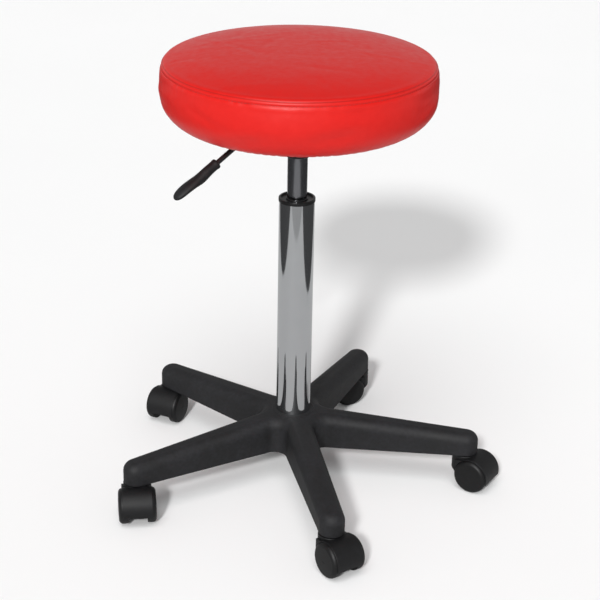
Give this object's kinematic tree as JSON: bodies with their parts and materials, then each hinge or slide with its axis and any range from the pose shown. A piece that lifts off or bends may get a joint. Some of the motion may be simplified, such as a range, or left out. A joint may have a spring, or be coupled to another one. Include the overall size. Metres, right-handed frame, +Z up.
{
  "type": "rolling stylist stool",
  "caption": "Backless round padded stool on a gas-lift column with a height lever, a star base and swivelling twin-wheel castors.",
  "frame": {"origin": "on the floor, under the column axis", "axes": "+Z up along the column; one leg of the star base points along -Y"},
  "size_m": [0.5635, 0.5394, 0.65],
  "materials": {
    "base_nylon": "matte",
    "castor_nylon": "satin",
    "wheel_nylon": "satin",
    "column_chrome": "polished",
    "cylinder_steel": "satin",
    "plain_steel": "satin",
    "spring_steel": "satin",
    "bush_plastic": "satin",
    "black_paint": "satin",
    "paddle_plastic": "matte",
    "seal_rubber": "matte",
    "red_upholstery": "satin",
    "foam": "matte",
    "plywood": "matte",
    "dust_cloth": "matte"
  },
  "bodies": {
    "base": {"star_base": "base_nylon", "hub_reinforcing_ring": "plain_steel", "column_tube": "column_chrome", "column_guide_bush": "bush_plastic", "column_end_plate": "plain_steel", "clip_washer": "plain_steel", "thrust_bearing_lower_race": "plain_steel", "thrust_bearing_balls": "plain_steel", "thrust_bearing_cage": "bush_plastic", "castor_stems": "plain_steel", "stem_grip_rings": "spring_steel"},
    "lift_rod": {"piston_rod": "plain_steel", "piston": "plain_steel", "piston_ring": "seal_rubber", "rubber_bumper": "seal_rubber", "thrust_bearing_upper_race": "plain_steel", "rod_retaining_clip": "spring_steel"},
    "seat": {"gas_cylinder": "cylinder_steel", "rod_guide": "plain_steel", "rod_seal": "seal_rubber", "valve_body": "plain_steel", "seat_plate": "black_paint", "taper_socket": "black_paint", "plate_screws": "spring_steel", "lock_washers": "spring_steel", "t_nuts": "plain_steel", "seat_board": "plywood", "seat_foam": "foam", "seat_cover": "red_upholstery", "dust_cover": "dust_cloth", "seat_staples": "spring_steel", "lever_bracket": "black_paint", "lever_pivot_pin": "plain_steel"},
    "lever": {"lever_rod": "black_paint", "lever_paddle": "paddle_plastic"},
    "button": {"release_button": "plain_steel"},
    "castor_1": {"castor_1_housing": "castor_nylon", "castor_1_axle": "plain_steel"},
    "wheel_1_left": {"castor_1_wheel_left": "wheel_nylon"},
    "wheel_1_right": {"castor_1_wheel_right": "wheel_nylon"},
    "castor_2": {"castor_2_housing": "castor_nylon", "castor_2_axle": "plain_steel"},
    "wheel_2_left": {"castor_2_wheel_left": "wheel_nylon"},
    "wheel_2_right": {"castor_2_wheel_right": "wheel_nylon"},
    "castor_3": {"castor_3_housing": "castor_nylon", "castor_3_axle": "plain_steel"},
    "wheel_3_left": {"castor_3_wheel_left": "wheel_nylon"},
    "wheel_3_right": {"castor_3_wheel_right": "wheel_nylon"},
    "castor_4": {"castor_4_housing": "castor_nylon", "castor_4_axle": "plain_steel"},
    "wheel_4_left": {"castor_4_wheel_left": "wheel_nylon"},
    "wheel_4_right": {"castor_4_wheel_right": "wheel_nylon"},
    "castor_5": {"castor_5_housing": "castor_nylon", "castor_5_axle": "plain_steel"},
    "wheel_5_left": {"castor_5_wheel_left": "wheel_nylon"},
    "wheel_5_right": {"castor_5_wheel_right": "wheel_nylon"}
  },
  "joints": [
    {"name": "seat_swivel", "type": "hinge", "parent": "base", "child": "lift_rod", "pos_m": [0, 0, 0.0515], "axis": [0, 0, 1], "continuous": true},
    {"name": "seat_height", "type": "slide", "parent": "lift_rod", "child": "seat", "axis": [0, 0, 1], "range_m": [-0.05, 0.07]},
    {"name": "height_lever", "type": "hinge", "parent": "seat", "child": "lever", "pos_m": [-0.02564, -0.01125, 0.532], "axis": [-0.4019, 0.9157, 0], "range_deg": [0, 5.5], "stiffness_Nm_per_rad": 2, "springref_deg": -17.19},
    {"name": "button_press", "type": "slide", "parent": "seat", "child": "button", "axis": [0, 0, 1], "range_m": [-0.003, 0]},
    {"name": "castor_1_swivel", "type": "hinge", "parent": "base", "child": "castor_1", "pos_m": [0, -0.2555, 0.0512], "axis": [0, 0, 1], "continuous": true},
    {"name": "wheel_1_left_spin", "type": "hinge", "parent": "castor_1", "child": "wheel_1_left", "pos_m": [0.00768, -0.27451, 0.025], "axis": [0.9272, 0.3746, 0], "continuous": true},
    {"name": "wheel_1_right_spin", "type": "hinge", "parent": "castor_1", "child": "wheel_1_right", "pos_m": [0.00768, -0.27451, 0.025], "axis": [0.9272, 0.3746, 0], "continuous": true},
    {"name": "castor_2_swivel", "type": "hinge", "parent": "base", "child": "castor_2", "pos_m": [0.24299, -0.07895, 0.0512], "axis": [0, 0, 1], "continuous": true},
    {"name": "wheel_2_left_spin", "type": "hinge", "parent": "castor_2", "child": "wheel_2_left", "pos_m": [0.25749, -0.09345, 0.025], "axis": [0.7071, 0.7071, 0], "continuous": true},
    {"name": "wheel_2_right_spin", "type": "hinge", "parent": "castor_2", "child": "wheel_2_right", "pos_m": [0.25749, -0.09345, 0.025], "axis": [0.7071, 0.7071, 0], "continuous": true},
    {"name": "castor_3_swivel", "type": "hinge", "parent": "base", "child": "castor_3", "pos_m": [0.15018, 0.2067, 0.0512], "axis": [0, 0, 1], "continuous": true},
    {"name": "wheel_3_left_spin", "type": "hinge", "parent": "castor_3", "child": "wheel_3_left", "pos_m": [0.12988, 0.20385, 0.025], "axis": [0.1392, -0.9903, 0], "continuous": true},
    {"name": "wheel_3_right_spin", "type": "hinge", "parent": "castor_3", "child": "wheel_3_right", "pos_m": [0.12988, 0.20385, 0.025], "axis": [0.1392, -0.9903, 0], "continuous": true},
    {"name": "castor_4_swivel", "type": "hinge", "parent": "base", "child": "castor_4", "pos_m": [-0.15018, 0.2067, 0.0512], "axis": [0, 0, 1], "continuous": true},
    {"name": "wheel_4_left_spin", "type": "hinge", "parent": "castor_4", "child": "wheel_4_left", "pos_m": [-0.16223, 0.19012, 0.025], "axis": [0.809, -0.5878, 0], "continuous": true},
    {"name": "wheel_4_right_spin", "type": "hinge", "parent": "castor_4", "child": "wheel_4_right", "pos_m": [-0.16223, 0.19012, 0.025], "axis": [0.809, -0.5878, 0], "continuous": true},
    {"name": "castor_5_swivel", "type": "hinge", "parent": "base", "child": "castor_5", "pos_m": [-0.24299, -0.07895, 0.0512], "axis": [0, 0, 1], "continuous": true},
    {"name": "wheel_5_left_spin", "type": "hinge", "parent": "castor_5", "child": "wheel_5_left", "pos_m": [-0.24443, -0.0994, 0.025], "axis": [0.9976, -0.0698, 0], "continuous": true},
    {"name": "wheel_5_right_spin", "type": "hinge", "parent": "castor_5", "child": "wheel_5_right", "pos_m": [-0.24443, -0.0994, 0.025], "axis": [0.9976, -0.0698, 0], "continuous": true}
  ],
  "couplings": [
    {"joint": "button_press", "follows": "height_lever", "m_per_rad": -0.028}
  ]
}
